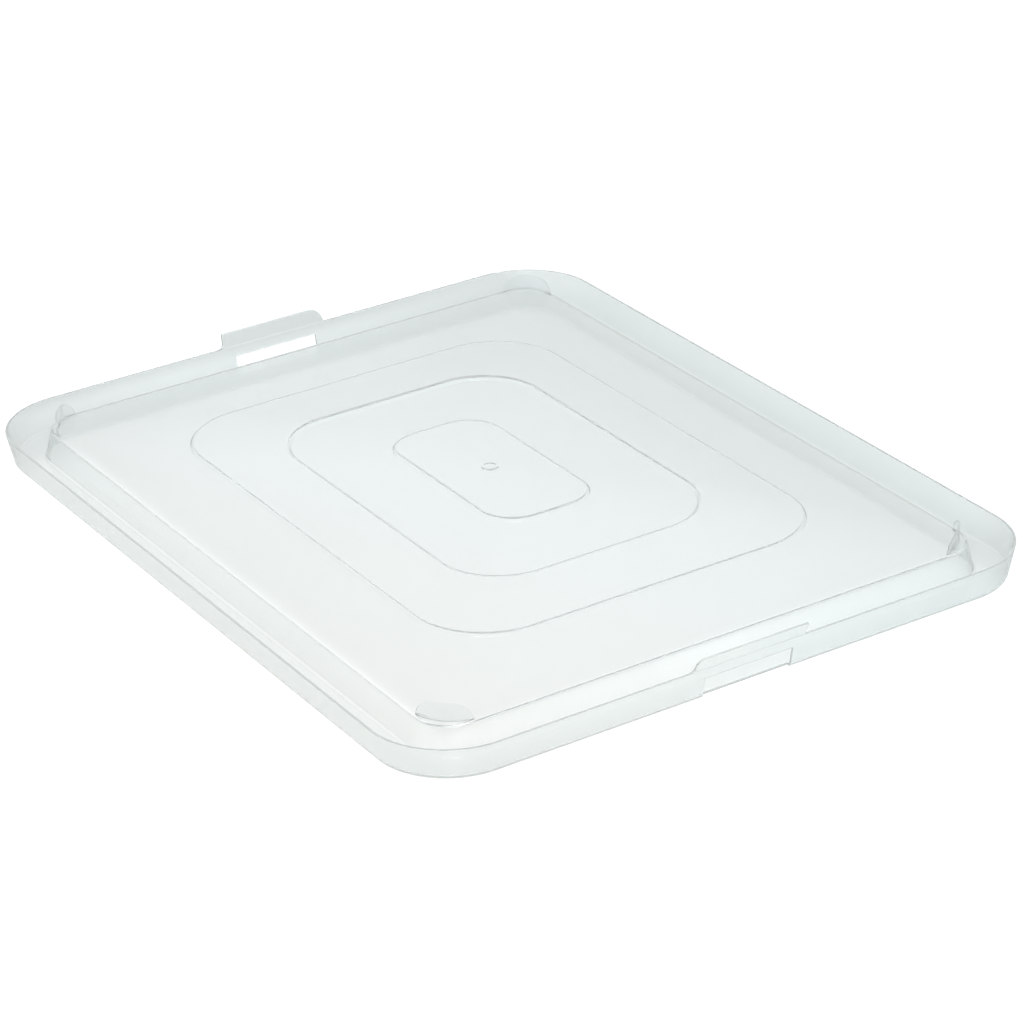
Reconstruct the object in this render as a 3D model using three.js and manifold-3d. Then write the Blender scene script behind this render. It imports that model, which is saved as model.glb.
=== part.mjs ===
// Lid of a large clear storage box, lying mouth side up, in millimetres with +Z up.
// X runs across the lid and Y along it. The origin is under its centre, on the face it rests on.
import * as THREE from 'three';
import { mergeVertices } from 'three/addons/utils/BufferGeometryUtils.js';
import Module from 'manifold-3d';

// Skirt: the outer wall, which leans outward and goes over the box's rim
const LID_WIDTH = 400;
const LID_LENGTH = 500;
const SKIRT_HEIGHT = 19;
const SKIRT_DRAFT = 3.9;
const SKIRT_CORNER_RADIUS = 47;
const WALL = 1.4;

// Rim channel and plug: the groove for the box's rim, and the wall that drops inside that rim
const CHANNEL_WIDTH = 16.8;
const PLUG_HEIGHT = 17.8;
const PLUG_DRAFT = 4.4;
const FOOT_RADIUS = 2;
const ROOT_RADIUS = 2;
const SHOULDER_RADIUS = 2.4;
const LIP_RADIUS = 0.45;

// Crowned panel: a landing round the edge, then a raised ridge, a groove and a raised pad
const LANDING_WIDTH = 7.6;
const BORDER_RISE = 2.3;
const RIDGE_SIDE_WIDTH = 41;
const RIDGE_END_WIDTH = 47;
const RIDGE_RISE = 3.2;
const RIDGE_CORNER_RADIUS = 45;
const GROOVE_SIDE_WIDTH = 47;
const GROOVE_END_WIDTH = 51;
const GROOVE_RISE = 1.8;
const GROOVE_CORNER_RADIUS = 38;
const PAD_WIDTH = 67;
const PAD_LENGTH = 130;
const PAD_RISE = 0.4;
const PAD_CORNER_RADIUS = 22;
const STEP_HEIGHT = 1.7;
const STEP_DRAFT = 1.6;
const GATE_RADIUS = 5;
const GATE_HEIGHT = 0.5;

// Corner fins: curved upstands on the landing, which guide the plug into the box's corners
const FIN_RADIUS = 27;
const FIN_INSET = 1.4;
const FIN_HEIGHT = 10.6;
const FIN_WIDTH = 30;
const FIN_TOP_WIDTH = 5;
const FIN_THICKNESS = 1.2;
const FIN_TOP_THICKNESS = 0.8;

// Clips: a finger tab on each short side, over a window that catches a lug on the box's rim
const TAB_WIDTH = 70;
const TAB_HEIGHT = 8.2;
const TAB_LEAN = THREE.MathUtils.degToRad(22);
const TAB_GAP = 0.3;
const REAR_LEFT_CROWN_RADIUS = 1.5;
const REAR_LEFT_ROOT_RADIUS = 4;
const REAR_RIGHT_CROWN_RADIUS = 7.6;
const REAR_RIGHT_ROOT_RADIUS = 0.4;
const FRONT_LEFT_CROWN_RADIUS = 0.6;
const FRONT_LEFT_ROOT_RADIUS = 0.4;
const FRONT_RIGHT_CROWN_RADIUS = 4.6;
const FRONT_RIGHT_ROOT_RADIUS = 3.4;
const WINDOW_WIDTH = 56;
const WINDOW_TOP = 12.6;
const WINDOW_RELIEF = 1.5;

// Facets, and the margins of cuts and welds
const CORNER_STEPS = 12;
const FILLET_STEPS = 3;
const RING_STEPS = 96;
const ARC_STEPS = 8;
const CUT_MARGIN = 5;
const SMALLEST_RADIUS = 0.5;
const WELD_DISTANCE = 1e-4;
const CORNER_SIGNS = [[1, 1], [-1, 1], [-1, -1], [1, -1]];

const wasm = await Module();
wasm.setup();

const clearPolypropylene = new THREE.MeshStandardMaterial({
  color: 0xe4eae9,
  roughness: 0.22,
  metalness: 0,
  transparent: true,
  opacity: 0.35,
});

/** Turns a closed geometry into a solid for joining and cutting. */
function toSolid(geometry) {
  const bare = geometry.clone();
  bare.deleteAttribute('normal');
  bare.deleteAttribute('uv');
  const merged = mergeVertices(bare, WELD_DISTANCE);
  return new wasm.Manifold(
    new wasm.Mesh({
      numProp: 3,
      vertProperties: new Float32Array(merged.attributes.position.array),
      triVerts: new Uint32Array(merged.index.array),
    }),
  );
}

/** Turns a solid back into a geometry. */
function toGeometry(solid) {
  const mesh = solid.getMesh();
  const geometry = new THREE.BufferGeometry();
  geometry.setAttribute('position', new THREE.BufferAttribute(mesh.vertProperties, 3));
  geometry.setIndex(new THREE.BufferAttribute(mesh.triVerts, 1));
  geometry.computeVertexNormals();
  return geometry;
}

/** Makes a named sub-part in the lid's plastic. */
function subPart(name, geometry) {
  const mesh = new THREE.Mesh(geometry, clearPolypropylene);
  mesh.name = name;
  return mesh;
}

/** Rounded rectangle given by half sizes and a corner radius. */
const rectangle = (x, y, radius) => ({ x, y, radius });

/** Rectangle offset inward by a distance, or outward if it is negative. */
function inset({ x, y, radius }, distance) {
  return rectangle(x - distance, y - distance, Math.max(radius - distance, SMALLEST_RADIUS));
}

/** Points of a rounded rectangle at a height, counter-clockwise seen from above. */
function loop({ x, y, radius }, z) {
  return CORNER_SIGNS.flatMap(([sx, sy], quarter) => {
    const corner = [];
    for (let step = 0; step <= CORNER_STEPS; step++) {
      const angle = (quarter + step / CORNER_STEPS) * (Math.PI / 2);
      corner.push(new THREE.Vector3(
        sx * (x - radius) + radius * Math.cos(angle),
        sy * (y - radius) + radius * Math.sin(angle),
        z,
      ));
    }
    return corner;
  });
}

/** Closed skin through loops of equal length, from a cap above the lid to a cap below it. */
function loft(loops) {
  const count = loops[0].length;
  const points = loops.flat();
  const last = points.length - count;
  const top = points.push(new THREE.Vector3(0, 0, loops[0][0].z)) - 1;
  const bottom = points.push(new THREE.Vector3(0, 0, loops.at(-1)[0].z)) - 1;
  const index = [];
  for (let j = 0; j < count; j++) {
    const next = (j + 1) % count;
    index.push(top, j, next);
    for (let row = 0; row < last; row += count) {
      index.push(row + j, row + count + j, row + count + next);
      index.push(row + j, row + count + next, row + next);
    }
    index.push(last + next, last + j, bottom);
  }
  const geometry = new THREE.BufferGeometry().setFromPoints(points);
  geometry.setIndex(index);
  return geometry;
}

/** Rounds the corners of a section, each given as depth from the skirt's edge, height and radius. */
function rounded(corners) {
  const section = corners.map(([depth, z]) => new THREE.Vector2(depth, z));
  return corners.flatMap(([, , radius], i) => {
    const here = section[i];
    if (!radius) return [here];
    const back = section[i - 1].clone().sub(here).normalize();
    const ahead = section[i + 1].clone().sub(here).normalize();
    const reach = radius / Math.tan(Math.acos(back.dot(ahead)) / 2);
    const start = here.clone().addScaledVector(back, reach);
    const end = here.clone().addScaledVector(ahead, reach);
    return new THREE.QuadraticBezierCurve(start, here, end).getPoints(FILLET_STEPS);
  });
}

// Depths from the skirt's edge, and the outlines that the panel steps through
const edge = rectangle(LID_WIDTH / 2, LID_LENGTH / 2, SKIRT_CORNER_RADIUS);
const skirtInside = (z) => WALL + SKIRT_DRAFT * (1 - z / SKIRT_HEIGHT);
const plugFoot = SKIRT_DRAFT + WALL + CHANNEL_WIDTH;
const plugOutside = (z) => plugFoot + (PLUG_DRAFT * z) / PLUG_HEIGHT;
const shoulder = plugOutside(PLUG_HEIGHT);
const landing = inset(edge, shoulder + LANDING_WIDTH);

const pad = rectangle(PAD_WIDTH / 2, PAD_LENGTH / 2, PAD_CORNER_RADIUS);
const groove = rectangle(pad.x + GROOVE_SIDE_WIDTH, pad.y + GROOVE_END_WIDTH, GROOVE_CORNER_RADIUS);
const ridge = rectangle(groove.x + RIDGE_SIDE_WIDTH, groove.y + RIDGE_END_WIDTH, RIDGE_CORNER_RADIUS);

// Heights of the crowned panel, from its edge to its middle
const ridgeFoot = PLUG_HEIGHT + BORDER_RISE;
const ridgeTop = ridgeFoot + STEP_HEIGHT;
const grooveTop = ridgeTop + RIDGE_RISE;
const grooveFloor = grooveTop - STEP_HEIGHT;
const padFoot = grooveFloor + GROOVE_RISE;
const padTop = padFoot + STEP_HEIGHT;
const crown = padTop + PAD_RISE;

/** Loops across the panel from its middle outward, on its upper face or a wall's thickness lower. */
function panelLoops(drop) {
  return [
    loop(rectangle(GATE_RADIUS, GATE_RADIUS, GATE_RADIUS), crown - drop),
    loop(pad, padTop - drop),
    loop(inset(pad, -STEP_DRAFT), padFoot - drop),
    loop(inset(groove, STEP_DRAFT), grooveFloor - drop),
    loop(groove, grooveTop - drop),
    loop(ridge, ridgeTop - drop),
    loop(inset(ridge, -STEP_DRAFT), ridgeFoot - drop),
    loop(landing, PLUG_HEIGHT - drop),
  ];
}

/** The section from the landing over the shoulder, channel and skirt, and back underneath. */
function wallLoops() {
  const under = PLUG_HEIGHT - WALL;
  const section = rounded([
    [shoulder + LANDING_WIDTH, PLUG_HEIGHT, 0],
    [shoulder, PLUG_HEIGHT, SHOULDER_RADIUS],
    [plugOutside(WALL), WALL, ROOT_RADIUS],
    [skirtInside(WALL), WALL, ROOT_RADIUS],
    [WALL, SKIRT_HEIGHT, LIP_RADIUS],
    [0, SKIRT_HEIGHT, LIP_RADIUS],
    [SKIRT_DRAFT, 0, FOOT_RADIUS],
    [plugFoot + WALL, 0, ROOT_RADIUS],
    [plugOutside(under) + WALL, under, SHOULDER_RADIUS / 2],
    [shoulder + LANDING_WIDTH, under, 0],
  ]);
  return section.slice(1, -1).map(({ x, y }) => loop(inset(edge, x), y));
}

/** The thin moulding without its fins and windows: panel, plug wall, channel and skirt. */
function tray() {
  const gate = loop(rectangle(GATE_RADIUS, GATE_RADIUS, GATE_RADIUS), crown + GATE_HEIGHT);
  return toSolid(loft([gate, ...panelLoops(0), ...wallLoops(), ...panelLoops(WALL).reverse()]));
}

/** One corner fin: an upright ring about the fin's arc centre, thinner at its top, cut to an arch. */
function fin([sx, sy], quarter) {
  const foot = PLUG_HEIGHT - WALL / 2;
  const top = PLUG_HEIGHT + FIN_HEIGHT;
  const ring = [
    [FIN_RADIUS, foot],
    [FIN_RADIUS, top],
    [FIN_RADIUS - FIN_TOP_THICKNESS, top],
    [FIN_RADIUS - FIN_THICKNESS, foot],
    [FIN_RADIUS, foot],
  ].map(([r, z]) => new THREE.Vector2(r, z));
  const round = new THREE.LatheGeometry(ring, RING_STEPS).rotateX(Math.PI / 2);

  const slope = (FIN_WIDTH - FIN_TOP_WIDTH) / 2;
  const arch = new THREE.Shape();
  arch.moveTo(-FIN_WIDTH / 2, 0);
  arch.lineTo(FIN_WIDTH / 2, 0);
  arch.lineTo(FIN_WIDTH / 2, PLUG_HEIGHT);
  arch.absellipse(FIN_TOP_WIDTH / 2, PLUG_HEIGHT, slope, FIN_HEIGHT, 0, Math.PI / 2);
  arch.absellipse(-FIN_TOP_WIDTH / 2, PLUG_HEIGHT, slope, FIN_HEIGHT, Math.PI / 2, Math.PI);
  const depth = FIN_RADIUS + CUT_MARGIN;
  const prism = new THREE.ExtrudeGeometry(arch, { depth, bevelEnabled: false, curveSegments: ARC_STEPS })
    .rotateX(Math.PI / 2)
    .rotateZ((3 * Math.PI) / 4 + (quarter * Math.PI) / 2);

  const reach = shoulder + FIN_INSET + FIN_RADIUS;
  const solids = [round, prism].map((shape) => {
    return toSolid(shape.translate(sx * (edge.x - reach), sy * (edge.y - reach), 0));
  });
  return solids[0].intersect(solids[1]);
}

/** Box that opens a window through the skirt under a tab, with a relief in the channel's floor. */
function windowCut(side) {
  const inner = LID_LENGTH / 2 - SKIRT_DRAFT - WALL - WINDOW_RELIEF;
  const depth = LID_LENGTH / 2 + CUT_MARGIN - inner;
  const height = WINDOW_TOP + CUT_MARGIN;
  const box = new THREE.BoxGeometry(WINDOW_WIDTH, depth, height);
  box.translate(0, side * (inner + depth / 2), WINDOW_TOP - height / 2);
  return toSolid(box);
}

/** The rigid shell: the tray with a fin on each corner of its landing and a window under each tab. */
function lidShell() {
  const finned = CORNER_SIGNS.reduce((shell, signs, quarter) => shell.add(fin(signs, quarter)), tray());
  return finned.subtract(windowCut(1)).subtract(windowCut(-1));
}

/** A tab's end: the rounding at its top, held to the room over the flare at its root, and that flare. */
const tabEnd = (crown, root) => ({ crown: Math.min(crown, TAB_HEIGHT - root), root });

/** Finger tab, upright on its root: rounded at the top of each end and flared into the skirt's edge. */
function tab(left, right) {
  const half = TAB_WIDTH / 2;
  const outline = new THREE.Shape();
  outline.moveTo(-half - left.root, 0);
  outline.lineTo(half + right.root, 0);
  outline.absarc(half + right.root, right.root, right.root, -Math.PI / 2, -Math.PI, true);
  outline.absarc(half - right.crown, TAB_HEIGHT - right.crown, right.crown, 0, Math.PI / 2);
  outline.absarc(left.crown - half, TAB_HEIGHT - left.crown, left.crown, Math.PI / 2, Math.PI);
  outline.absarc(-half - left.root, left.root, left.root, 0, -Math.PI / 2, true);
  const settings = { depth: WALL, bevelEnabled: false, curveSegments: ARC_STEPS };
  const lean = new THREE.Matrix4().makeShear(0, 0, 0, 0, 0, Math.tan(TAB_LEAN));
  return new THREE.ExtrudeGeometry(outline, settings).rotateX(Math.PI / 2).applyMatrix4(lean);
}

/** A tab seated over the skirt's edge: on the +Y side, or turned half round to the -Y side. */
function clip(name, geometry, turn) {
  const seat = new THREE.Group();
  const mesh = subPart(name, geometry);
  mesh.position.set(0, LID_LENGTH / 2, SKIRT_HEIGHT + TAB_GAP);
  seat.rotation.z = turn;
  seat.add(mesh);
  return seat;
}

const rearTab = tab(
  tabEnd(REAR_LEFT_CROWN_RADIUS, REAR_LEFT_ROOT_RADIUS),
  tabEnd(REAR_RIGHT_CROWN_RADIUS, REAR_RIGHT_ROOT_RADIUS),
);
const frontTab = tab(
  tabEnd(FRONT_LEFT_CROWN_RADIUS, FRONT_LEFT_ROOT_RADIUS),
  tabEnd(FRONT_RIGHT_CROWN_RADIUS, FRONT_RIGHT_ROOT_RADIUS),
);

const lid = new THREE.Group();
lid.add(
  subPart('lid_shell', toGeometry(lidShell())),
  clip('rear_clip_tab', rearTab, 0),
  clip('front_clip_tab', frontTab, Math.PI),
);

export default lid;
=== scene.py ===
"""Dresses the lid of a clear storage box: its moulded shell, its two clip tabs and the studio round them."""

import logging
import math
from dataclasses import dataclass
from enum import Enum
from typing import Iterator

import bpy
import numpy as np
from mathutils import Matrix, Vector


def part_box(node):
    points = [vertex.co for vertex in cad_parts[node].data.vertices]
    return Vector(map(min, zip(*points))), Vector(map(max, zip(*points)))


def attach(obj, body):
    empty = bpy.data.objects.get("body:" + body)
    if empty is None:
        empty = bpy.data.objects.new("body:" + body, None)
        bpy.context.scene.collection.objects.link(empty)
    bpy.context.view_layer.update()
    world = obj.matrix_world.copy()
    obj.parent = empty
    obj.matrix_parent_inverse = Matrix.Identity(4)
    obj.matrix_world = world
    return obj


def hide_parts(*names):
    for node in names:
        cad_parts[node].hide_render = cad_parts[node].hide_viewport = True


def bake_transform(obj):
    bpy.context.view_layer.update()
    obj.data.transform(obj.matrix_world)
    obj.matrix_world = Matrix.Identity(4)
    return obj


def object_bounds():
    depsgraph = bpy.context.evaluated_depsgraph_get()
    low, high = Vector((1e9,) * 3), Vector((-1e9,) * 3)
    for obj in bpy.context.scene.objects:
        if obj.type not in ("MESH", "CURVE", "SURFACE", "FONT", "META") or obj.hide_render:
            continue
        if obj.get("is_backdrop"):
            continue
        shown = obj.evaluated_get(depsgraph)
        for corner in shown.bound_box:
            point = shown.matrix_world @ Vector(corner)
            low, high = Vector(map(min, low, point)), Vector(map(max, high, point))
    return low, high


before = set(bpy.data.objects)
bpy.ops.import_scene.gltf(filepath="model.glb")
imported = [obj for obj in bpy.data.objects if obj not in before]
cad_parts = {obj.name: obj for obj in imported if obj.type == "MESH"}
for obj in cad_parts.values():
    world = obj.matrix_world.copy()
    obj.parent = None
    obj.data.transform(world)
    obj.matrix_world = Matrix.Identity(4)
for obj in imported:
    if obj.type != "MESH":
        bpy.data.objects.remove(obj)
CAD_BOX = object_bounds()

LOG = logging.getLogger("storage_box_lid")
MM = 0.001
QUARTER_TURN = math.pi / 2
TINY = 1e-6
THIN = "thin"
JOINED = "joined"


def linear(hex_colour: str) -> tuple[float, float, float, float]:
    """Turns an sRGB hex colour to linear light.

    Args:
        hex_colour: Six hex digits after a hash sign.

    Returns:
        Red, green and blue in linear light, and full opacity.
    """
    parts = [int(hex_colour[i : i + 2], 16) / 255 for i in (1, 3, 5)]
    light = [c / 12.92 if c <= 0.04045 else ((c + 0.055) / 1.055) ** 2.4 for c in parts]
    return (*light, 1.0)


def add_node(
    tree: bpy.types.NodeTree, kind: str, inputs: dict[str | int, object] | None = None, **settings: object
) -> bpy.types.Node:
    """Adds a node to a tree, with its settings, values and links.

    Args:
        tree: Node tree that takes the node.
        kind: Blender's name for the kind of node.
        inputs: Value or source socket for each named input.
        **settings: Properties of the node.

    Returns:
        The new node.
    """
    node = tree.nodes.new(kind)
    for name, value in settings.items():
        setattr(node, name, value)
    for name, value in (inputs or {}).items():
        if isinstance(value, bpy.types.NodeSocket):
            tree.links.new(value, node.inputs[name])
        else:
            node.inputs[name].default_value = value
    return node


def write_attribute(made: bpy.types.Object, name: str, domain: str, values: np.ndarray) -> None:
    """Writes a number on each point or face of an object's mesh, for its material to read."""
    made.data.attributes.new(name, "FLOAT", domain).data.foreach_set("value", values)


def new_object(name: str, points: np.ndarray, faces: list[list[int]], crease: float) -> bpy.types.Object:
    """Makes a smooth-shaded mesh object with crisp creases.

    Args:
        name: Name of the object.
        points: Vertex positions in metres, one row each.
        faces: Vertex numbers of each face, counter-clockwise from outside.
        crease: Angle in degrees past which an edge stays crisp.

    Returns:
        The new object, in the scene.
    """
    mesh = bpy.data.meshes.new(name)
    mesh.from_pydata(points.tolist(), [], faces)
    mesh.shade_smooth()
    mesh.set_sharp_from_angle(angle=math.radians(crease))
    made = bpy.data.objects.new(name, mesh)
    bpy.context.scene.collection.objects.link(made)
    return made


@dataclass(frozen=True)
class MouldedPolypropylene:
    """Clear polypropylene from a polished mould: a glossy sheet with a faint cool tint and a little haze.

    The sheet is nearly colourless face on. Its edges look darker, because light that leaves through them has
    run a long way inside the plastic. A faint glow inside the plastic is painted light, standing in for light
    that its haze scatters, and keeps those edges from going black. The thin corner fins, which the mesh marks
    "thin", are clearer. Faces marked "joined", where a tab grows out of the skirt, aren't seen: the plastic is
    one there.
    """

    name: str = "moulded_clear_polypropylene"
    tint: str = "#F4F7F7"
    mottle: str = "#F2F5F5"
    thin_tint: str = "#F6F7F9"
    depth_tint: str = "#AFBAB6"
    depth_density: float = 60.0
    # Painted light: tint and strength of a glow inside the plastic.
    painted_glow_tint: str = "#F9FBF9"
    painted_glow_strength: float = 23.0
    ior: float = 1.49
    thin_ior: float = 1.15
    clarity: float = 0.87
    thin_clarity: float = 0.96
    thin_veil: float = 0.45
    gloss_roughness: float = 0.08
    haze_roughness: float = 0.15
    mottle_size: float = 45 * MM
    mottle_detail: float = 3.0
    flow_size: float = 7 * MM
    flow_detail: float = 2.0
    ripple_size: float = 18 * MM
    ripple_detail: float = 1.0
    ripple_height: float = 0.003 * MM

    def material(self) -> bpy.types.Material:
        """Builds the plastic's material.

        Returns:
            The material, with surface and depth.
        """
        made = bpy.data.materials.new(self.name)
        made.use_nodes = True
        tree = made.node_tree
        tree.nodes.clear()
        place = add_node(tree, "ShaderNodeTexCoord").outputs["Object"]
        patterns = (
            (self.mottle_size, self.mottle_detail),
            (self.flow_size, self.flow_detail),
            (self.ripple_size, self.ripple_detail),
        )
        mottle, flow, ripple = (
            add_node(
                tree, "ShaderNodeTexNoise", {"Vector": place, "Scale": 1 / size, "Detail": detail}
            ).outputs["Fac"]
            for size, detail in patterns
        )
        colour = add_node(
            tree,
            "ShaderNodeMix",
            {"Factor": mottle, "A": linear(self.tint), "B": linear(self.mottle)},
            data_type="RGBA",
        ).outputs["Result"]
        thin = add_node(tree, "ShaderNodeAttribute", attribute_name=THIN).outputs["Fac"]
        colour = add_node(
            tree,
            "ShaderNodeMix",
            {"Factor": thin, "A": colour, "B": linear(self.thin_tint)},
            data_type="RGBA",
        ).outputs["Result"]
        clarity = add_node(
            tree,
            "ShaderNodeMix",
            {"Factor": thin, "A": self.clarity, "B": self.thin_clarity},
            data_type="FLOAT",
        ).outputs["Result"]
        ior = add_node(
            tree, "ShaderNodeMix", {"Factor": thin, "A": self.ior, "B": self.thin_ior}, data_type="FLOAT"
        ).outputs["Result"]
        roughness = add_node(
            tree,
            "ShaderNodeMapRange",
            {"Value": flow, "To Min": self.gloss_roughness, "To Max": self.haze_roughness},
        ).outputs["Result"]
        bump = add_node(
            tree, "ShaderNodeBump", {"Height": ripple, "Distance": self.ripple_height, "Strength": 1.0}
        ).outputs["Normal"]
        joined = add_node(tree, "ShaderNodeAttribute", attribute_name=JOINED).outputs["Fac"]
        veil = add_node(
            tree, "ShaderNodeMath", {0: thin, 1: self.thin_veil}, operation="MULTIPLY"
        ).outputs["Value"]
        unseen = add_node(tree, "ShaderNodeMath", {0: joined, 1: veil}, operation="MAXIMUM").outputs["Value"]
        solid = add_node(tree, "ShaderNodeMath", {0: 1.0, 1: unseen}, operation="SUBTRACT").outputs["Value"]
        surface = add_node(
            tree,
            "ShaderNodeBsdfPrincipled",
            {
                "Base Color": colour,
                "Roughness": roughness,
                "IOR": ior,
                "Transmission Weight": clarity,
                "Normal": bump,
                "Alpha": solid,
            },
        )
        depth = add_node(
            tree,
            "ShaderNodeVolumeAbsorption",
            {"Color": linear(self.depth_tint), "Density": self.depth_density},
        ).outputs["Volume"]
        # Painted light: a glow inside the plastic, standing in for light that its haze scatters, lifts the dark
        # edges.
        painted_glow = add_node(
            tree, "ShaderNodeEmission", {"Color": linear(self.painted_glow_tint), "Strength": self.painted_glow_strength}
        ).outputs["Emission"]
        inside = add_node(tree, "ShaderNodeAddShader", {0: depth, 1: painted_glow}).outputs["Shader"]
        add_node(
            tree, "ShaderNodeOutputMaterial", {"Surface": surface.outputs["BSDF"], "Volume": inside}
        )
        return made


@dataclass(frozen=True)
class PaintedLightPatch:
    """Soft-edged patch of painted light and shade on a light table: where it starts and is full, across the lid
    and along it.
    """

    across: tuple[float, float]
    along: tuple[float, float]

    def mask(
        self, tree: bpy.types.NodeTree, x: bpy.types.NodeSocket, y: bpy.types.NodeSocket
    ) -> bpy.types.NodeSocket:
        """Adds the nodes of the patch.

        Args:
            tree: Node tree of the table's material.
            x: Socket with the place across the lid.
            y: Socket with the place along the lid.

        Returns:
            Socket that is 1 in the patch and 0 off it.
        """
        edges = []
        for value, (start, full) in ((x, self.across), (y, self.along)):
            edge = add_node(
                tree,
                "ShaderNodeMapRange",
                {"Value": value, "From Min": start, "From Max": full},
                interpolation_type="SMOOTHSTEP",
            )
            edges.append(edge.outputs["Result"])
        return add_node(tree, "ShaderNodeMath", dict(enumerate(edges)), operation="MULTIPLY").outputs["Value"]


@dataclass(frozen=True)
class OpalTable:
    """Opal acrylic top of a light table: white where seen bare, with painted light and shade where seen through
    the plastic.

    Its fine grain is drawn coarser than it is, so that it shows. Its glow is painted light and shade, matched
    to the photograph: a crest of painted light left of the lid's middle, and soft-edged patches of painted
    shadow past the far side and at the left corner and of painted light under the other edges.
    """

    name: str = "opal_acrylic_light_table"
    # Painted light: the glow's tint past the far side and towards the near side.
    far_painted_light_tint: str = "#F9FFFF"
    near_painted_light_tint: str = "#F9F7F4"
    albedo: float = 0.14
    smooth: float = 0.55
    rough: float = 0.65
    grain_size: float = 3 * MM
    grain_detail: float = 2.0
    # Painted light and shade: strengths of the glow's crest and of its patches.
    painted_light_crest: float = 0.8
    glow_least: float = 0.63
    painted_light_edge: float = 0.215
    painted_light_right: float = 0.12
    painted_shadow_far: float = -0.24
    painted_shade_corner: float = -0.055
    glow_bare: float = 1.0
    crest_x: float = -50 * MM
    crest_fall: float = 3.0
    far: PaintedLightPatch = PaintedLightPatch((200 * MM, 60 * MM), (267 * MM, 294 * MM))
    corner: PaintedLightPatch = PaintedLightPatch((-60 * MM, -150 * MM), (110 * MM, 240 * MM))
    left: PaintedLightPatch = PaintedLightPatch((-150 * MM, -161 * MM), (235 * MM, 185 * MM))
    front: PaintedLightPatch = PaintedLightPatch((198 * MM, 152 * MM), (-193 * MM, -204 * MM))
    right: PaintedLightPatch = PaintedLightPatch((182 * MM, 202 * MM), (-215 * MM, -150 * MM))
    near_way: tuple[float, float, float] = (-0.92, -0.39, 0.0)
    near_reach: tuple[float, float] = (-60 * MM, 240 * MM)

    def glow(self, tree: bpy.types.NodeTree, place: bpy.types.NodeSocket) -> bpy.types.NodeSocket:
        """Adds the table's glow: a crest of painted light that is changed patch by patch with painted light and
        shade, and one strength where seen bare.

        Args:
            tree: Node tree of the material.
            place: Socket with the place on the table.

        Returns:
            Socket with the strength of the glow.
        """
        x, y = add_node(tree, "ShaderNodeSeparateXYZ", {"Vector": place}).outputs[:2]
        far, corner, left, front, right = (
            patch.mask(tree, x, y) for patch in (self.far, self.corner, self.left, self.front, self.right)
        )
        near = add_node(tree, "ShaderNodeMath", {0: left, 1: front}, operation="MAXIMUM").outputs["Value"]
        # Painted light: a crest of glow left of the lid's middle, falling off to each side down to the least
        # strength.
        aside = add_node(
            tree, "ShaderNodeMath", {0: x, 1: self.crest_x}, operation="SUBTRACT"
        ).outputs["Value"]
        fall = add_node(tree, "ShaderNodeMath", {0: aside, 1: aside}, operation="MULTIPLY").outputs["Value"]
        crest = add_node(
            tree,
            "ShaderNodeMath",
            {0: fall, 1: -self.crest_fall, 2: self.painted_light_crest},
            operation="MULTIPLY_ADD",
        ).outputs["Value"]
        strength = add_node(
            tree, "ShaderNodeMath", {0: crest, 1: self.glow_least}, operation="MAXIMUM"
        ).outputs["Value"]
        # The patches paint shadow past the far side and shade at the left corner, and light under the near and
        # right edges.
        changes = (
            (far, self.painted_shadow_far),
            (corner, self.painted_shade_corner),
            (near, self.painted_light_edge),
            (right, self.painted_light_right),
        )
        for patch, change in changes:
            strength = add_node(
                tree, "ShaderNodeMath", {0: patch, 1: change, 2: strength}, operation="MULTIPLY_ADD"
            ).outputs["Value"]
        # Painted light and shade stop where the table is seen bare: there it is evenly white.
        bare = add_node(tree, "ShaderNodeLightPath").outputs["Is Camera Ray"]
        return add_node(
            tree, "ShaderNodeMix", {"Factor": bare, "A": strength, "B": self.glow_bare}, data_type="FLOAT"
        ).outputs["Result"]

    def material(self) -> bpy.types.Material:
        """Builds the table's material.

        Returns:
            The material.
        """
        made = bpy.data.materials.new(self.name)
        made.use_nodes = True
        tree = made.node_tree
        tree.nodes.clear()
        place = add_node(tree, "ShaderNodeTexCoord").outputs["Object"]
        grain = add_node(
            tree,
            "ShaderNodeTexNoise",
            {"Vector": place, "Scale": 1 / self.grain_size, "Detail": self.grain_detail},
        ).outputs["Fac"]
        roughness = add_node(
            tree, "ShaderNodeMapRange", {"Value": grain, "To Min": self.smooth, "To Max": self.rough}
        ).outputs["Result"]
        # Painted light: the glow's tint runs from cooler past the far side to warmer towards the near side.
        distance = add_node(
            tree, "ShaderNodeVectorMath", {0: place, 1: self.near_way}, operation="DOT_PRODUCT"
        ).outputs["Value"]
        start, full = self.near_reach
        nearness = add_node(
            tree,
            "ShaderNodeMapRange",
            {"Value": distance, "From Min": start, "From Max": full},
            interpolation_type="SMOOTHSTEP",
        ).outputs["Result"]
        colour = add_node(
            tree,
            "ShaderNodeMix",
            {"Factor": nearness, "A": linear(self.far_painted_light_tint), "B": linear(self.near_painted_light_tint)},
            data_type="RGBA",
        ).outputs["Result"]
        surface = add_node(
            tree,
            "ShaderNodeBsdfPrincipled",
            {
                "Base Color": (self.albedo, self.albedo, self.albedo, 1.0),
                "Roughness": roughness,
                "Specular IOR Level": 0.0,
                "Emission Color": colour,
                "Emission Strength": self.glow(tree, place),
            },
        )
        add_node(tree, "ShaderNodeOutputMaterial", {"Surface": surface.outputs["BSDF"]})
        return made


@dataclass(frozen=True)
class Outline:
    """Rectangle with round corners, by its half sizes and corner radius."""

    x: float
    y: float
    radius: float

    def inset(self, distance: float) -> "Outline":
        """Gives the outline moved inward by a distance, or outward if it is negative."""
        return Outline(self.x - distance, self.y - distance, self.radius - distance)

    def toward(self, other: "Outline", share: float) -> "Outline":
        """Gives the outline that lies a share of the way to another one."""
        pairs = ((self.x, other.x), (self.y, other.y), (self.radius, other.radius))
        return Outline(*(a + (b - a) * share for a, b in pairs))


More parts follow.
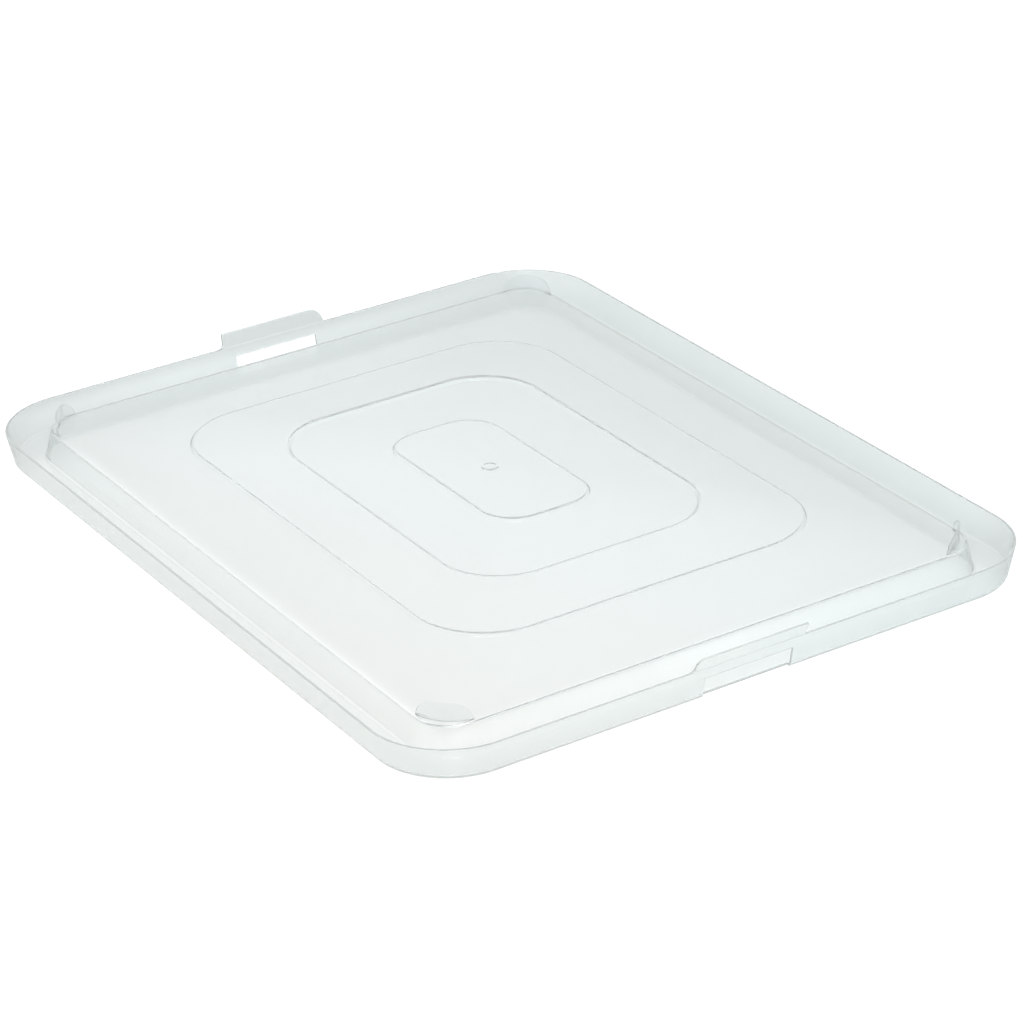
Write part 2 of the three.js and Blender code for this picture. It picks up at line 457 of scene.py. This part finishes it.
@dataclass(frozen=True)
class Stations:
    """Places round the lid that all its outlines share, counter-clockwise from the start of a corner.

    A place on a side has its share of the way along that side, and one round a corner has its angle.
    """

    across: np.ndarray
    along: np.ndarray
    angle: np.ndarray

    def on(self, outline: Outline) -> np.ndarray:
        """Finds the places on an outline.

        Args:
            outline: The outline.

        Returns:
            X and Y of each place.
        """
        x = self.across * (outline.x - outline.radius) + outline.radius * np.cos(self.angle)
        y = self.along * (outline.y - outline.radius) + outline.radius * np.sin(self.angle)
        return np.column_stack([x, y])

    def loop(self, outline: Outline, z: float | np.ndarray) -> np.ndarray:
        """Gives the places on an outline at a height, as points."""
        flat = self.on(outline)
        return np.column_stack([flat, np.broadcast_to(z, len(flat))])

    def circle(self, radius: float, z: float, like: Outline) -> np.ndarray:
        """Gives the places on a circle, in the directions that they have on another outline.

        Args:
            radius: Radius of the circle.
            z: Its height.
            like: The outline that gives the directions.

        Returns:
            A point for each place.
        """
        flat = self.on(like)
        turn = np.arctan2(flat[:, 1], flat[:, 0])
        return np.column_stack([radius * np.cos(turn), radius * np.sin(turn), np.full(len(flat), z)])


class Mark(Enum):
    """Rows of the skin where the fins begin, and where a window begins or ends."""

    FIN_FOOT = "fin_foot"
    CHANNEL_RELIEF = "channel_relief"
    INNER_HEAD = "inner_head"
    OUTER_HEAD = "outer_head"
    FOOT_RELIEF = "foot_relief"


@dataclass(frozen=True)
class Bend:
    """Corner of the wall's section: its depth from the skirt's edge, its height and its rounding."""

    depth: float
    z: float
    radius: float = 0.0
    mark: Mark | None = None


def eased(share: float) -> float:
    """Gives a smooth rise from 0 to 1 that starts and ends level."""
    return share * share * (3 - 2 * share)


def rounded(bends: list[Bend], steps: int, support: float) -> list[Bend]:
    """Rounds the corners of a section, with a row close before and after each arc to keep the faces flat.

    Args:
        bends: Corners in order. The first and last are ends.
        steps: Rows to each arc.
        support: Distance of the extra rows from the arc.

    Returns:
        Points of the section in order, as bends with no rounding.
    """
    made = [bends[0]]
    for before, here, after in zip(bends, bends[1:], bends[2:]):
        if not here.radius:
            made.append(here)
            continue
        corner = np.array([here.depth, here.z])
        back = np.array([before.depth, before.z]) - corner
        ahead = np.array([after.depth, after.z]) - corner
        room = min(np.linalg.norm(back), np.linalg.norm(ahead))
        back, ahead = back / np.linalg.norm(back), ahead / np.linalg.norm(ahead)
        half = math.acos(float(np.clip(back @ ahead, -1, 1))) / 2
        reach = here.radius / math.tan(half)
        middle = (back + ahead) / np.linalg.norm(back + ahead)
        centre = corner + middle * here.radius / math.sin(half)
        swing = QUARTER_TURN - half
        side = (ahead - back) / np.linalg.norm(ahead - back)
        turns = np.linspace(-swing, swing, steps + 1)
        arc = [centre + here.radius * (side * math.sin(t) - middle * math.cos(t)) for t in turns]
        spare = min(support, (room - reach) / 3)
        points = [corner + back * (reach + spare), *arc, corner + ahead * (reach + spare)]
        made += [Bend(float(d), float(z)) for d, z in points]
    return [*made, bends[-1]]


@dataclass(frozen=True)
class CornerFin:
    """Curved upright fin on a corner of the landing: its arc, height, arched outline and thickness."""

    radius: float = 27 * MM
    inset: float = 0.9 * MM
    height: float = 10.6 * MM
    foot_width: float = 30 * MM
    top_width: float = 5 * MM
    thickness: float = 1.2 * MM
    top_thickness: float = 0.8 * MM
    end_steps: int = 14
    top_steps: int = 4
    lead_steps: int = 4
    rows: tuple[float, ...] = (0.0, 0.25, 0.5, 0.75, 0.97)
    crest: tuple[tuple[float, float], ...] = ((0.9, 0.992), (0.7, 1.0), (0.3, 1.0), (0.1, 0.992))

    def half_angles(self) -> tuple[float, float]:
        """Gives the angles from the corner's diagonal to the fin's end and to the end of its level top."""
        return math.asin(self.foot_width / 2 / self.radius), math.asin(self.top_width / 2 / self.radius)

    def corner_angles(self) -> np.ndarray:
        """Gives the angles of a corner's places, close together where the fin's ends rise.

        Returns:
            Angles from the corner's start, in order.
        """
        foot, top = self.half_angles()
        end = top + (foot - top) * np.cos(np.linspace(0, QUARTER_TURN, self.end_steps + 1))
        crest = np.linspace(-top, top, self.top_steps + 1)[1:-1]
        swing = np.concatenate([-end, crest, end[::-1]]) + QUARTER_TURN / 2
        lead = np.linspace(0, swing[0], self.lead_steps + 1)[:-1]
        return np.concatenate([lead, swing, QUARTER_TURN - lead[::-1]])

    def arch(self, angle: np.ndarray) -> np.ndarray:
        """Gives the fin's height along its arc.

        Args:
            angle: Angles from the corner's diagonal.

        Returns:
            Height at each angle, as a share of the full height.
        """
        foot, top = self.half_angles()
        share = np.clip((np.abs(angle) - top) / (foot - top), 0, 1)
        return np.sqrt(1 - share * share)

    def section(self) -> list[tuple[float, float]]:
        """Gives the fin's section from its inner foot over its top to its outer foot.

        Returns:
            Depth from the fin's outer face and share of its height, point by point.
        """
        thin = self.top_thickness
        inner = [(self.thickness + (thin - self.thickness) * share, share) for share in self.rows]
        crest = [(thin * depth, share) for depth, share in self.crest]
        outer = [(0.0, share) for share in reversed(self.rows)]
        return [*inner, *crest, *outer]


@dataclass
class LidShell:
    """The rigid moulding: crowned panel, plug wall, rim channel and skirt, with corner fins and windows."""

    name: str
    body: str
    node: str
    wall: float = 1.4 * MM
    corner_radius: float = 47 * MM
    skirt_height: float = 19 * MM
    skirt_draft: float = 3.9 * MM
    lip_radius: float = 0.2 * MM
    lip_margin: float = 0.11 * MM
    foot_radius: float = 2.0 * MM
    root_radius: float = 2.0 * MM
    channel_width: float = 16.8 * MM
    plug_height: float = 17.8 * MM
    plug_draft: float = 4.4 * MM
    shoulder_radius: float = 0.7 * MM
    landing_width: float = 7.6 * MM
    border_rise: float = 2.3 * MM
    border_bow: float = 1.6
    ridge_side: float = 41 * MM
    ridge_end: float = 47 * MM
    ridge_rise: float = 3.2 * MM
    ridge_corner: float = 45 * MM
    groove_side: float = 47 * MM
    groove_end: float = 51 * MM
    groove_rise: float = 1.8 * MM
    groove_corner: float = 38 * MM
    pad_width: float = 67 * MM
    pad_length: float = 130 * MM
    pad_rise: float = 0.4 * MM
    pad_corner: float = 22 * MM
    step_height: float = 1.7 * MM
    step_width: float = 2.8 * MM
    gate_radius: float = 5.0 * MM
    gate_height: float = 0.5 * MM
    gate_ring: tuple[tuple[float, float], ...] = (
        (0.25, 0.3), (0.55, 0.3), (0.68, 0.45), (0.76, 0.95),
        (0.82, 1.0), (0.9, 0.95), (1.0, 0.1), (1.12, 0.0),
    )
    tab_width: float = 70 * MM
    window_width: float = 56 * MM
    window_head: float = 12.6 * MM
    window_relief: float = 1.5 * MM
    fin: CornerFin = CornerFin()
    fin_clearance: float = 0.8 * MM
    thin_start: float = 1.0 * MM
    side_steps: int = 24
    arc_steps: int = 7
    step_rows: int = 10
    span_rows: int = 9
    support: float = 0.3 * MM
    crease: float = 40.0

    def __post_init__(self) -> None:
        """Works out the outlines, depths and heights that the rows share."""
        low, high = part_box(self.node)
        half = (high - low) / 2
        self.edge = Outline(half.x + self.lip_margin, half.y + self.lip_margin, self.corner_radius)
        self.plug_foot = self.skirt_draft + self.wall + self.channel_width
        self.shoulder = self.plug_foot + self.plug_draft
        self.landing = self.edge.inset(self.shoulder + self.landing_width)
        self.pad = Outline(self.pad_width / 2, self.pad_length / 2, self.pad_corner)
        self.groove = Outline(
            self.pad.x + self.groove_side, self.pad.y + self.groove_end, self.groove_corner
        )
        self.ridge = Outline(
            self.groove.x + self.ridge_side, self.groove.y + self.ridge_end, self.ridge_corner
        )
        self.ridge_foot_z = self.plug_height + self.border_rise
        self.ridge_z = self.ridge_foot_z + self.step_height
        self.groove_top_z = self.ridge_z + self.ridge_rise
        self.groove_z = self.groove_top_z - self.step_height
        self.pad_foot_z = self.groove_z + self.groove_rise
        self.pad_z = self.pad_foot_z + self.step_height
        self.crown_z = self.pad_z + self.pad_rise
        self.stations = self.place_stations()

    def skirt_inside(self, z: float) -> float:
        """Gives the depth of the skirt's inner face at a height."""
        return self.wall + self.skirt_draft * (1 - z / self.skirt_height)

    def plug_outside(self, z: float) -> float:
        """Gives the depth of the plug wall's outer face at a height."""
        return self.plug_foot + self.plug_draft * z / self.plug_height

    def place_stations(self) -> Stations:
        """Places the stations round the lid, with one at each edge of the windows and each end of the tabs.

        Returns:
            The stations.
        """
        reach = self.edge.x - self.edge.radius
        tab, window = self.tab_width / 2 / reach, self.window_width / 2 / reach
        steps = self.side_steps // 3
        flank = np.append(np.linspace(1, tab, steps + 1)[1:], window)
        short = np.concatenate([flank, np.linspace(window, -window, steps + 1)[1:-1], -flank[::-1]])
        long = np.linspace(1, -1, self.side_steps + 1)[1:-1]
        turns = self.fin.corner_angles()
        rows = []
        for quarter, (sx, sy) in enumerate(((1, 1), (-1, 1), (-1, -1), (1, -1))):
            rows += [(sx, sy, quarter * QUARTER_TURN + turn) for turn in turns]
            angle = (quarter + 1) * QUARTER_TURN
            if quarter % 2 == 0:
                rows += [(sx * share, sy, angle) for share in short]
            else:
                rows += [(sx, sy * share, angle) for share in long]
        return Stations(*np.array(rows).T)

    def steps(self, start: Outline, end: Outline, start_z: float, end_z: float) -> Iterator[np.ndarray]:
        """Yields the loops of a moulded step, an S-shaped rise or fall from one outline to another.

        Args:
            start: Outline at the step's start.
            end: Outline at its end.
            start_z: Height at the start.
            end_z: Height at the end.

        Yields:
            A loop at a time, with the two ends.
        """
        for share in np.linspace(0, 1, self.step_rows + 1):
            yield self.stations.loop(start.toward(end, share), start_z + (end_z - start_z) * eased(share))

    def span(
        self, start: Outline, end: Outline, start_z: float, end_z: float, bow: float = 1.0
    ) -> Iterator[np.ndarray]:
        """Yields the loops between two steps of the panel, closer together towards both ends.

        Args:
            start: Outline at the span's start.
            end: Outline at its end.
            start_z: Height at the start.
            end_z: Height at the end.
            bow: Power of the slope. Over 1 it levels out towards the end.

        Yields:
            A loop at a time, without the two ends.
        """
        for turn in np.linspace(0, math.pi, self.span_rows + 2)[1:-1]:
            share = (1 - math.cos(turn)) / 2
            fall = 1 - (1 - share) ** bow
            yield self.stations.loop(start.toward(end, share), start_z + (end_z - start_z) * fall)

    def panel_loops(self, drop: float) -> list[np.ndarray]:
        """Gives the panel's loops from the pad's edge out to the landing, on its upper face or below it.

        Args:
            drop: Distance under the upper face.

        Returns:
            The loops, from the middle outward.
        """
        half = self.step_width / 2
        pad, pad_foot = self.pad.inset(half), self.pad.inset(-half)
        groove, groove_top = self.groove.inset(half), self.groove.inset(-half)
        ridge, ridge_foot = self.ridge.inset(half), self.ridge.inset(-half)
        loops = [
            *self.steps(pad, pad_foot, self.pad_z, self.pad_foot_z),
            *self.span(pad_foot, groove, self.pad_foot_z, self.groove_z),
            *self.steps(groove, groove_top, self.groove_z, self.groove_top_z),
            *self.span(groove_top, ridge, self.groove_top_z, self.ridge_z),
            *self.steps(ridge, ridge_foot, self.ridge_z, self.ridge_foot_z),
            *self.span(ridge_foot, self.landing, self.ridge_foot_z, self.plug_height, self.border_bow),
            self.stations.loop(self.landing, self.plug_height),
        ]
        return [loop - (0, 0, drop) for loop in loops]

    def pad_loops(self, drop: float, gate: bool) -> list[np.ndarray]:
        """Gives the loops of the pad's top, from the gate mark in its middle to its edge.

        Args:
            drop: Distance under the upper face.
            gate: Whether the ring that the gate leaves is there.

        Returns:
            The loops, from the middle outward.
        """
        foot = self.pad.inset(self.step_width / 2)
        loops = []
        for share, rise in self.gate_ring:
            z = self.crown_z + (rise * self.gate_height if gate else 0.0)
            loops.append(self.stations.circle(share * self.gate_radius, z, foot))
        inner = loops[-1]
        outer = self.stations.loop(foot, self.pad_z)
        for turn in np.linspace(0, math.pi, self.span_rows + 2)[1:-1]:
            share = (1 - math.cos(turn)) / 2
            loops.append(inner + (outer - inner) * share)
        return [loop - (0, 0, drop) for loop in loops]

    def fin_loops(self) -> list[np.ndarray]:
        """Gives the loops of the landing that rise as a fin at each corner and lie flat between them.

        Returns:
            The loops, from the middle outward.
        """
        fin = self.fin
        swing = np.mod(self.stations.angle, QUARTER_TURN) - QUARTER_TURN / 2
        round_corner = np.abs(self.stations.across * self.stations.along) == 1
        rise = np.where(round_corner, fin.arch(swing), 0.0)
        plateau = self.edge.inset(self.shoulder)
        standing = Outline(plateau.x - fin.inset, plateau.y - fin.inset, fin.radius)
        on_fin = round_corner & (np.abs(swing) <= fin.half_angles()[0] + TINY)
        between = np.where(on_fin, 0.0, self.fin_clearance)
        out = np.column_stack([np.cos(self.stations.angle), np.sin(self.stations.angle)])
        loops = []
        for depth, height in fin.section():
            loop = self.stations.loop(standing, self.plug_height + rise * height * fin.height)
            loop[:, :2] -= out * (depth + between)[:, None]
            loops.append(loop)
        return loops

    def wall_section(self) -> list[Bend]:
        """Gives the section from the landing over the shoulder, channel and skirt, and back underneath.

        Returns:
            The points of the section, without the landing's two ends.
        """
        under = self.plug_height - self.wall
        relief = self.skirt_draft + self.wall + self.window_relief
        head = self.window_head
        bends = [
            Bend(self.shoulder + self.landing_width, self.plug_height),
            Bend(self.shoulder, self.plug_height, self.shoulder_radius),
            Bend(self.plug_outside(self.wall), self.wall, self.root_radius),
            Bend(relief, self.wall, mark=Mark.CHANNEL_RELIEF),
            Bend(self.skirt_inside(self.wall), self.wall, self.wall),
            Bend(self.skirt_inside(head), head, mark=Mark.INNER_HEAD),
            Bend(self.wall, self.skirt_height, self.lip_radius),
            Bend(0.0, self.skirt_height, self.lip_radius),
            Bend(self.skirt_draft * (1 - head / self.skirt_height), head, mark=Mark.OUTER_HEAD),
            Bend(self.skirt_draft, 0.0, self.foot_radius),
            Bend(relief, 0.0, mark=Mark.FOOT_RELIEF),
            Bend(self.plug_foot + self.wall, 0.0, self.root_radius),
            Bend(self.plug_outside(under) + self.wall, under, self.shoulder_radius),
            Bend(self.shoulder + self.landing_width, under),
        ]
        return rounded(bends, self.arc_steps, self.support)[1:-1]

    def skin_loops(self) -> tuple[list[np.ndarray], dict[Mark, int]]:
        """Gives the skin's loops, from the middle of its upper face round to the middle of its lower one.

        Returns:
            The loops, and the rows that are marked.
        """
        loops = [*self.pad_loops(0.0, gate=True), *self.panel_loops(0.0)]
        marks = {Mark.FIN_FOOT: len(loops)}
        loops += self.fin_loops()
        for bend in self.wall_section():
            if bend.mark:
                marks[bend.mark] = len(loops)
            loops.append(self.stations.loop(self.edge.inset(bend.depth), bend.z))
        loops += reversed([*self.pad_loops(self.wall, gate=False), *self.panel_loops(self.wall)])
        return loops, marks

    def skin_faces(
        self, numbers: np.ndarray, marks: dict[Mark, int], lip: set[int]
    ) -> tuple[list[list[int]], list[int]]:
        """Makes the skin's faces between its first and last loops, round the two windows.

        Args:
            numbers: Vertex numbers by row and station.
            marks: Rows where the windows begin and end.
            lip: Rows of the level top of the skirt.

        Returns:
            The faces, and the numbers of those that a tab grows out of.
        """
        windows = self.columns_within(self.window_width)
        opened = {column for run in windows for column in run[:-1]}
        under_tab = {column for run in self.columns_within(self.tab_width) for column in run[:-1]}
        cut = set(range(marks[Mark.CHANNEL_RELIEF], marks[Mark.INNER_HEAD]))
        cut |= set(range(marks[Mark.OUTER_HEAD], marks[Mark.FOOT_RELIEF]))
        rows, count = numbers.shape
        faces, joined = [], []
        for j in range(count):
            k = (j + 1) % count
            for i in range(rows - 1):
                if j in opened and i in cut:
                    continue
                if j in under_tab and i in lip:
                    joined.append(len(faces))
                corners = (numbers[i, j], numbers[i + 1, j], numbers[i + 1, k], numbers[i, k])
                faces.append([int(n) for n in corners])
        for run in windows:
            faces += self.window_faces(numbers, marks, run)
        return faces, joined

    def build(self) -> bpy.types.Object:
        """Builds the shell as one closed skin, with its fins and the places under the tabs marked.

        Returns:
            The shell's object.
        """
        loops, marks = self.skin_loops()
        count = len(self.stations.angle)
        numbers = np.arange(len(loops) * count).reshape(len(loops), count)
        level = np.array([abs(loop[0, 2] - self.skirt_height) < TINY for loop in loops])
        lip = set(np.flatnonzero(level[:-1] & level[1:]).tolist())
        faces, joined = self.skin_faces(numbers, marks, lip)
        points = np.concatenate(loops)
        top, bottom = len(points), len(points) + 1
        points = np.vstack([points, (0, 0, loops[0][0, 2]), (0, 0, loops[-1][0, 2])])
        for j in range(count):
            k = (j + 1) % count
            faces.append([top, int(numbers[0, j]), int(numbers[0, k])])
            faces.append([bottom, int(numbers[-1, k]), int(numbers[-1, j])])
        made = new_object(self.name, points, faces, self.crease)
        seam = np.zeros(len(faces))
        seam[joined] = 1
        write_attribute(made, JOINED, "FACE", seam)
        fins = slice(marks[Mark.FIN_FOOT] * count, (marks[Mark.FIN_FOOT] + len(self.fin.section())) * count)
        thin = np.zeros(len(points))
        thin[fins] = np.clip((points[fins, 2] - self.plug_height) / self.thin_start, 0, 1)
        write_attribute(made, THIN, "POINT", thin)
        return made

    def columns_within(self, width: float) -> list[list[int]]:
        """Finds the stations within a width about the middle of each short side.

        Args:
            width: The width.

        Returns:
            The station numbers on each short side, in order.
        """
        flat = self.stations.on(self.edge)
        reach = width / 2 + self.support / 2
        inside = (np.abs(flat[:, 0]) < reach) & (np.abs(self.stations.along) == 1)
        runs = []
        for side in (1, -1):
            runs.append([int(j) for j in np.flatnonzero(inside & (self.stations.along == side))])
        return runs

    @staticmethod
    def window_faces(numbers: np.ndarray, marks: dict[Mark, int], run: list[int]) -> list[list[int]]:
        """Makes the faces through the wall round a window: its head, its sill and its two jambs.

        Args:
            numbers: Vertex numbers by row and station.
            marks: Rows where the window begins and ends.
            run: Stations across the window.

        Returns:
            The faces.
        """
        inner = numbers[marks[Mark.CHANNEL_RELIEF] : marks[Mark.INNER_HEAD] + 1]
        outer = numbers[marks[Mark.OUTER_HEAD] : marks[Mark.FOOT_RELIEF] + 1]
        faces = []
        for j, k in zip(run, run[1:]):
            faces.append([inner[-1, k], outer[0, k], outer[0, j], inner[-1, j]])
            faces.append([inner[0, j], outer[-1, j], outer[-1, k], inner[0, k]])
        faces.append([*inner[:, run[0]], *outer[:, run[0]]])
        faces.append([*outer[::-1, run[-1]], *inner[::-1, run[-1]]])
        return [[int(n) for n in face] for face in faces]

    def dress(self, shell: bpy.types.Object, plastic: bpy.types.Material) -> None:
        """Gives the shell its plastic and hangs it on the lid's body.

        Args:
            shell: The shell's object.
            plastic: Its material.
        """
        shell.data.materials.append(plastic)
        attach(shell, self.body)
        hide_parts(self.node)


@dataclass(frozen=True)
class TabEnd:
    """End of a clip tab: the rounding at its top and the flare at its root."""

    crown: float
    root: float


class Side(Enum):
    """Short side of the lid that a tab is on, by the turn that takes the rear side there."""

    REAR = 0.0
    FRONT = math.pi


@dataclass
class ClipTab:
    """Finger tab over a window: a leaning tongue that bends outward at its root."""

    name: str
    body: str
    parent: str
    node: str
    side: Side
    left: TabEnd
    right: TabEnd
    seat_y: float
    seat_z: float
    width: float
    thickness: float
    height: float = 8.2 * MM
    lean: float = math.radians(22)
    side_draft: float = 0.1 * MM
    edge_radius: float = 0.3 * MM
    seam: float = 0.02 * MM
    hinge_reach: float = 3.0 * MM
    arc_steps: int = 8
    edge_steps: int = 4
    flank_steps: int = 4
    face_rows: int = 10
    top_steps: int = 16
    crease: float = 50.0

    def end_outline(self, end: TabEnd) -> np.ndarray:
        """Gives the outline of one end of the tab, from its root to its top.

        Args:
            end: Rounding and flare of that end.

        Returns:
            Distance outward from the tab's middle and height, point by point.
        """
        half = self.width / 2
        turns = np.linspace(0, QUARTER_TURN, self.arc_steps + 1)
        flare = np.column_stack([half + end.root * (1 - np.sin(turns)), end.root * (1 - np.cos(turns))])
        flare[:, 0] += self.side_draft
        crown = np.column_stack([np.cos(turns), np.sin(turns)]) * end.crown
        crown += (half - end.crown - self.side_draft, self.height - end.crown)
        flank = flare[-1] + (crown[0] - flare[-1]) * np.linspace(0, 1, self.flank_steps + 1)[1:-1, None]
        outline = np.vstack([flare, flank, crown])
        outline[:, 1] = np.maximum(outline[:, 1], self.seam * 2)
        return outline

    def outline(self) -> np.ndarray:
        """Gives the tab's outline over its top, from left to right.

        Returns:
            Place and height, point by point.
        """
        left = self.end_outline(self.left) * (-1, 1)
        right = self.end_outline(self.right)[::-1]
        share = np.linspace(0, 1, self.top_steps + 1)[1:-1, None]
        return np.vstack([left, left[-1] + (right[0] - left[-1]) * share, right])

    def section(self, height: float) -> np.ndarray:
        """Gives the section at a place of some height, from its outer foot over its top to its inner foot.

        Args:
            height: Height of the tab there.

        Returns:
            Distance outward from the skirt's edge and height, before the lean.
        """
        radius = min(self.edge_radius, height / 3)
        rise = np.linspace(0, height - radius, self.face_rows + 1)
        turns = np.linspace(0, QUARTER_TURN, self.edge_steps + 1)[1:]
        over = np.column_stack([radius * np.cos(turns) - radius, height - radius + radius * np.sin(turns)])
        outer = np.vstack([np.column_stack([np.zeros_like(rise), rise]), over])
        inner = outer[::-1] * (-1, 1) - (self.thickness, 0)
        return np.vstack([outer, inner])

    def build(self) -> bpy.types.Object:
        """Builds the tab as a closed tongue with its root on the skirt's edge.

        Returns:
            The tab's object.
        """
        columns = []
        for x, height in self.outline():
            section = self.section(height)
            lean = section[:, 1] * math.tan(self.lean)
            columns.append(np.column_stack([np.full(len(section), x), section[:, 0] + lean, section[:, 1]]))
        count = len(columns[0])
        numbers = np.arange(len(columns) * count).reshape(len(columns), count)
        faces = [[int(n) for n in numbers[0, ::-1]], [int(n) for n in numbers[-1]]]
        root = [0.0, 0.0]
        for a, b in zip(numbers, numbers[1:]):
            for i in range(count):
                k = (i + 1) % count
                faces.append([int(n) for n in (a[i], a[k], b[k], b[i])])
                root.append(float(k == 0))
        points = np.concatenate(columns) + (0, self.seat_y, self.seat_z + self.seam)
        turn = np.array(Matrix.Rotation(self.side.value, 3, "Z"))
        made = new_object(self.name, points @ turn.T, faces, self.crease)
        write_attribute(made, JOINED, "FACE", np.array(root))
        return made

    def dress(self, tab: bpy.types.Object, plastic: bpy.types.Material) -> None:
        """Gives the tab its plastic, sets its place into its mesh and hides the part that it stands for.

        Args:
            tab: The tab's object.
            plastic: Its material.
        """
        tab.data.materials.append(plastic)
        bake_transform(tab)
        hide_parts(self.node)


@dataclass
class Studio:
    """White light table, soft light from all round and the camera at the photograph's place."""

    floor_size: float = 12.0
    floor_drop: float = 0.3 * MM
    floor_crease: float = 30.0
    sky_low: float = 0.6
    sky_top: float = 1.2
    sky_start: float = 0.1
    sky_end: float = 0.64
    key_size: float = 1.2
    key_power: float = 30.0
    key_distance: float = 2.2
    key_azimuth: float = math.radians(-31.4)
    key_elevation: float = math.radians(40)
    frame_pixels: float = 1024.0
    azimuth: float = math.radians(-31.375)
    elevation: float = math.radians(26.725)
    roll: float = math.radians(-2.254)
    distance: float = 2114.4 * MM
    focal_pixels: float = 3729.2
    axis_x: float = -20.31
    axis_y: float = -2.61
    sensor: float = 36.0

    def lay_floor(self, table: bpy.types.Material) -> bpy.types.Object:
        """Lays the table's top under the lid.

        Args:
            table: The floor's material.

        Returns:
            The floor's object.
        """
        half = self.floor_size / 2
        corners = np.array([(-half, -half), (half, -half), (half, half), (-half, half)])
        points = np.column_stack([corners, np.full(4, -self.floor_drop)])
        floor = new_object("table_top", points, [[0, 1, 2, 3]], self.floor_crease)
        floor.data.materials.append(table)
        floor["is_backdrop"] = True
        return floor

    def light(self) -> None:
        """Lights the scene with a white tent: dimmer low down, brighter overhead."""
        world = bpy.data.worlds.new("white_light_tent")
        world.use_nodes = True
        tree = world.node_tree
        tree.nodes.clear()
        way = add_node(tree, "ShaderNodeTexCoord").outputs["Generated"]
        height = add_node(tree, "ShaderNodeSeparateXYZ", {"Vector": way}).outputs["Z"]
        rise = add_node(
            tree,
            "ShaderNodeMapRange",
            {"Value": height, "From Min": self.sky_start, "From Max": self.sky_end},
            interpolation_type="SMOOTHSTEP",
        ).outputs["Result"]
        strength = add_node(
            tree, "ShaderNodeMix", {"Factor": rise, "A": self.sky_low, "B": self.sky_top}, data_type="FLOAT"
        ).outputs["Result"]
        tent = add_node(tree, "ShaderNodeBackground", {"Color": linear("#FFFFFF"), "Strength": strength})
        add_node(tree, "ShaderNodeOutputWorld", {"Surface": tent.outputs["Background"]})
        bpy.context.scene.world = world

    def hang_softbox(self) -> bpy.types.Object:
        """Hangs a softbox over the camera, so that shadows fall behind the lid's far walls.

        Returns:
            The light's object.
        """
        lamp = bpy.data.lights.new("key_softbox", "AREA")
        lamp.size = self.key_size
        lamp.energy = self.key_power
        box = bpy.data.objects.new("key_softbox", lamp)
        bpy.context.scene.collection.objects.link(box)
        az, el = self.key_azimuth, self.key_elevation
        way = Vector((math.cos(el) * math.sin(az), -math.cos(el) * math.cos(az), math.sin(el)))
        turn = way.to_track_quat("Z", "Y").to_matrix().to_4x4()
        box.matrix_world = Matrix.Translation(way * self.key_distance) @ turn
        return box

    def place_camera(self) -> bpy.types.Object:
        """Places the camera where the photograph was taken from.

        Returns:
            The camera's object.
        """
        az, el = self.azimuth, self.elevation
        ahead = Vector((-math.cos(el) * math.sin(az), math.cos(el) * math.cos(az), -math.sin(el)))
        right = Vector((math.cos(az), math.sin(az), 0))
        up = right.cross(ahead)
        turned_right = right * math.cos(self.roll) + up * math.sin(self.roll)
        turned_up = up * math.cos(self.roll) - right * math.sin(self.roll)
        lens = bpy.data.cameras.new("product_camera")
        lens.sensor_width = self.sensor
        lens.lens = self.focal_pixels / self.frame_pixels * self.sensor
        lens.shift_x = -self.axis_x / self.frame_pixels
        lens.shift_y = self.axis_y / self.frame_pixels
        camera = bpy.data.objects.new("product_camera", lens)
        bpy.context.scene.collection.objects.link(camera)
        turn = Matrix((turned_right, turned_up, -ahead)).transposed().to_4x4()
        camera.matrix_world = Matrix.Translation(-ahead * self.distance) @ turn
        bpy.context.scene.camera = camera
        return camera

    def set_exposure(self) -> None:
        """Shows the light as it is, so that the bare table is white."""
        view = bpy.context.scene.view_settings
        view.view_transform = "Standard"
        view.look = "None"


def write_sizes() -> None:
    """Gathers the boxes of the solids and of the dressed lid, and keeps them nowhere."""
    boxes = {"cad": CAD_BOX, "visual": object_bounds()}
    {name: [list(corner) for corner in box] for name, box in boxes.items()}


def main() -> None:
    """Builds the lid and the studio, and reports each piece."""
    logging.basicConfig(level=logging.INFO, format="%(name)s: %(message)s")
    plastic = MouldedPolypropylene().material()
    shell = LidShell("moulded_lid_shell", "lid", "lid_shell")
    tabs = [
        ClipTab(
            "moulded_rear_clip_tab", "rear_tab", "lid", "rear_clip_tab", Side.REAR,
            TabEnd(crown=1.5 * MM, root=4.0 * MM), TabEnd(crown=7.6 * MM, root=0.4 * MM),
            shell.edge.y, shell.skirt_height, shell.tab_width, shell.wall,
        ),
        ClipTab(
            "moulded_front_clip_tab", "front_tab", "lid", "front_clip_tab", Side.FRONT,
            TabEnd(crown=0.6 * MM, root=0.4 * MM), TabEnd(crown=4.6 * MM, root=3.4 * MM),
            shell.edge.y, shell.skirt_height, shell.tab_width, shell.wall,
        ),
    ]
    for piece in (shell, *tabs):
        made = piece.build()
        piece.dress(made, plastic)
        LOG.info("%s: %d faces on %s", made.name, len(made.data.polygons), piece.body)
    studio = Studio()
    studio.lay_floor(OpalTable().material())
    studio.light()
    studio.hang_softbox()
    studio.place_camera()
    studio.set_exposure()
    write_sizes()


if __name__ == "__main__":
    main()
